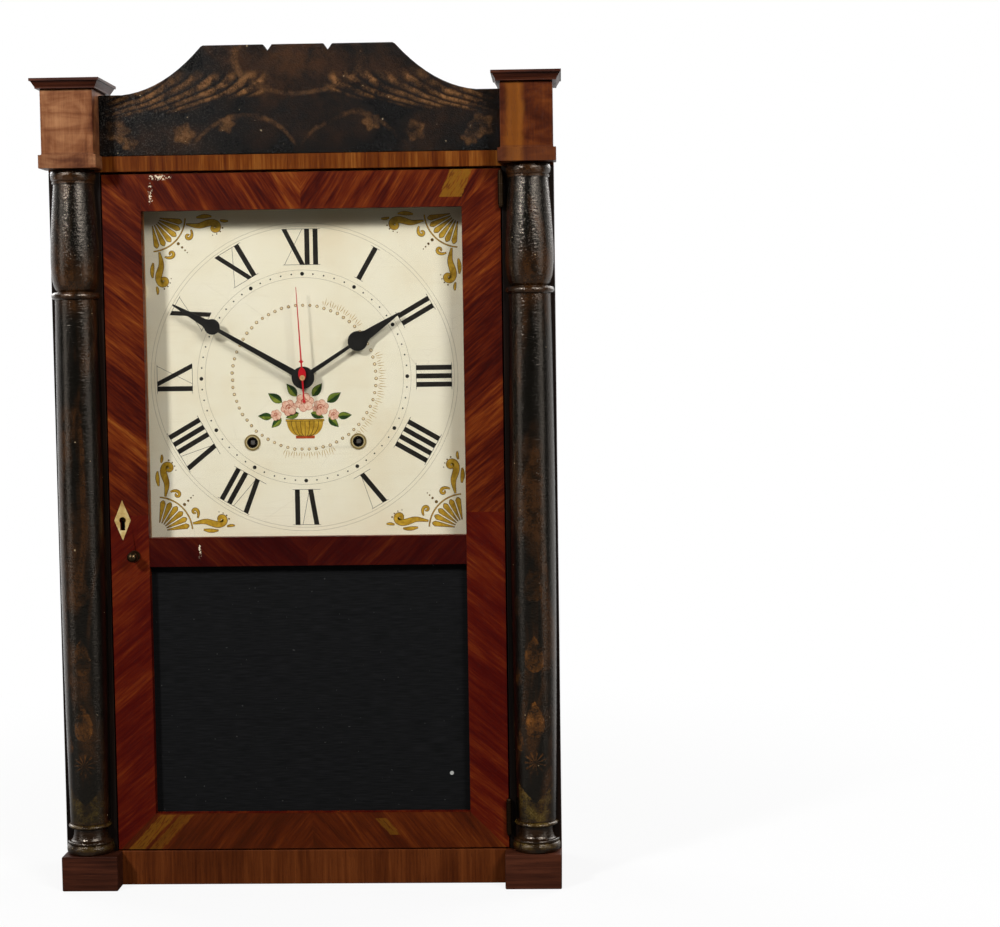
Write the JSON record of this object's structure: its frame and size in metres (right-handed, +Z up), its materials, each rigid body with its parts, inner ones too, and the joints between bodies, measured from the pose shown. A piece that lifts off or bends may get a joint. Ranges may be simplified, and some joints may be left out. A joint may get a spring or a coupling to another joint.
{
  "type": "shelf clock",
  "caption": "Wooden shelf clock with half columns, a cut splat, a glazed two-panel door on pin hinges, and a battery movement driving three coupled hands.",
  "frame": {"origin": "middle of the footprint, at the level of the shelf it stands on", "axes": "+Z up, the dial faces -Y, +X to the right as seen from the front"},
  "size_m": [0.434, 0.127, 0.7042],
  "materials": {
    "mahogany": "satin",
    "dark_mahogany": "satin",
    "light_mahogany": "satin",
    "pine": "matte",
    "black_paint": "satin",
    "dial_paint": "matte",
    "black_panel": "matte",
    "brass": "aged",
    "iron": "dull",
    "bone": "satin",
    "glass": "clear",
    "hand_black": "satin",
    "hand_red": "gloss",
    "black_plastic": "matte",
    "copper_wire": "satin",
    "board_green": "satin",
    "cell_jacket": "satin"
  },
  "bodies": {
    "case": {"case_side_left": "mahogany", "case_side_right": "mahogany", "case_top": "pine", "case_bottom": "pine", "backboard": "pine", "backboard_nails": "iron", "front_stiles": "dark_mahogany", "base_rail": "mahogany", "top_rail": "light_mahogany", "base_blocks": "dark_mahogany", "capital_blocks": "light_mahogany", "block_caps": "mahogany", "splat": "black_paint", "half_column_left": "black_paint", "half_column_right": "black_paint", "dial_posts": "pine", "dial_board": "dial_paint", "winding_grommets": "brass", "arbor_batten": "pine", "winding_arbors": "iron", "lock_keeper": "brass", "hinge_leaves_case": "brass", "button_screws": "brass", "movement_shell_front": "black_plastic", "movement_shell_back": "black_plastic", "bush_washer": "brass", "bush_nut": "brass", "stator": "iron", "coil": "copper_wire", "circuit_board": "board_green", "battery": "cell_jacket", "battery_contacts": "iron"},
    "door": {"door_stile_left": "mahogany", "door_stile_right": "mahogany", "door_rail_top": "mahogany", "door_rail_mid": "mahogany", "door_rail_bottom": "mahogany", "dial_glass": "glass", "tablet_panel": "black_panel", "glazing_beads": "pine", "escutcheon": "bone", "lock_case": "iron", "hinge_leaves_door": "brass", "hinge_pins": "brass"},
    "lock_bolt": {"lock_bolt": "brass"},
    "latch": {"door_knob": "brass", "latch_tongue": "brass"},
    "dial_button_left": {"dial_button_left": "light_mahogany"},
    "dial_button_right": {"dial_button_right": "light_mahogany"},
    "minute": {"minute_hand": "hand_black", "centre_wheel": "brass"},
    "hour": {"hour_hand": "hand_black", "hour_wheel": "brass"},
    "second": {"second_hand": "hand_red", "seconds_wheel": "brass"},
    "third": {"third_wheel": "brass"},
    "motion": {"motion_wheel": "brass"},
    "fifth": {"fifth_wheel": "brass"},
    "rotor": {"rotor": "iron"},
    "setting": {"setting_knob": "black_plastic"}
  },
  "joints": [
    {"name": "door_swing", "type": "hinge", "parent": "case", "child": "door", "pos_m": [0.1663, -0.0378, 0.315], "axis": [0, 0, 1], "range_deg": [0, 115]},
    {"name": "bolt_slide", "type": "slide", "parent": "door", "child": "lock_bolt", "axis": [-1, 0, 0], "range_m": [0, 0.005]},
    {"name": "latch_turn", "type": "hinge", "parent": "door", "child": "latch", "pos_m": [-0.1459, -0.035, 0.2808], "axis": [0, 1, 0], "range_deg": [0, 90]},
    {"name": "button_left_turn", "type": "hinge", "parent": "case", "child": "dial_button_left", "pos_m": [-0.156, -0.011, 0.5023], "axis": [0, -1, 0], "range_deg": [0, 90]},
    {"name": "button_right_turn", "type": "hinge", "parent": "case", "child": "dial_button_right", "pos_m": [0.156, -0.011, 0.5023], "axis": [0, 1, 0], "range_deg": [0, 90]},
    {"name": "minute_spin", "type": "hinge", "parent": "case", "child": "minute", "pos_m": [-0.003, 0.005, 0.4285], "axis": [0, 1, 0], "continuous": true},
    {"name": "hour_spin", "type": "hinge", "parent": "case", "child": "hour", "pos_m": [-0.003, 0.005, 0.4285], "axis": [0, 1, 0], "continuous": true},
    {"name": "second_spin", "type": "hinge", "parent": "case", "child": "second", "pos_m": [-0.003, 0.005, 0.4285], "axis": [0, 1, 0], "continuous": true},
    {"name": "third_spin", "type": "hinge", "parent": "case", "child": "third", "pos_m": [-0.0136, 0.005, 0.43462], "axis": [0, 1, 0], "continuous": true},
    {"name": "motion_spin", "type": "hinge", "parent": "case", "child": "motion", "pos_m": [0.00627, 0.005, 0.42601], "axis": [0, 1, 0], "continuous": true},
    {"name": "fifth_spin", "type": "hinge", "parent": "case", "child": "fifth", "pos_m": [0.00132, 0.005, 0.43598], "axis": [0, 1, 0], "continuous": true},
    {"name": "rotor_spin", "type": "hinge", "parent": "case", "child": "rotor", "pos_m": [0.00921, 0.005, 0.43885], "axis": [0, 1, 0], "continuous": true},
    {"name": "setting_spin", "type": "hinge", "parent": "case", "child": "setting", "pos_m": [0.01642, 0.005, 0.42971], "axis": [0, 1, 0], "continuous": true}
  ],
  "couplings": [
    {"joint": "hour_spin", "follows": "minute_spin", "ratio": 0.083333},
    {"joint": "second_spin", "follows": "minute_spin", "ratio": 60},
    {"joint": "third_spin", "follows": "minute_spin", "ratio": -8},
    {"joint": "motion_spin", "follows": "minute_spin", "ratio": -0.33333},
    {"joint": "fifth_spin", "follows": "minute_spin", "ratio": -300},
    {"joint": "rotor_spin", "follows": "minute_spin", "ratio": 1800},
    {"joint": "setting_spin", "follows": "minute_spin", "ratio": 0.66667}
  ]
}
